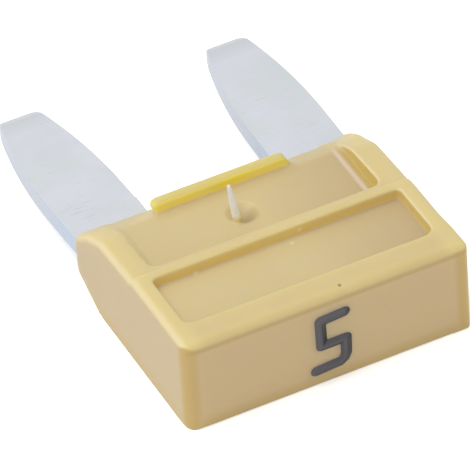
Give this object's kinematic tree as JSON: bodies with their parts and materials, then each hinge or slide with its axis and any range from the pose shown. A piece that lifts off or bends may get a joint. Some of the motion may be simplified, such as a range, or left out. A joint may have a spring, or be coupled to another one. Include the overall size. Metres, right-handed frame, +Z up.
{
  "type": "mini blade fuse",
  "caption": "Mini automotive blade fuse with a bevelled tan plastic housing, recessed faces, catch lips and two tapered flat blades.",
  "frame": {"origin": "under the middle of the whole fuse, on the surface that it lies on", "axes": "+X across the fuse, from the left blade to the right blade; +Y along the blades to their tips; +Z up, through the thickness"},
  "size_m": [0.011, 0.0162, 0.0046],
  "materials": {
    "tan_plastic": "moulded, satin, slightly translucent",
    "zinc": "rolled and stamped, matt"
  },
  "bodies": {
    "root": {"housing": "tan_plastic", "fuse_element": "zinc"}
  },
  "joints": []
}
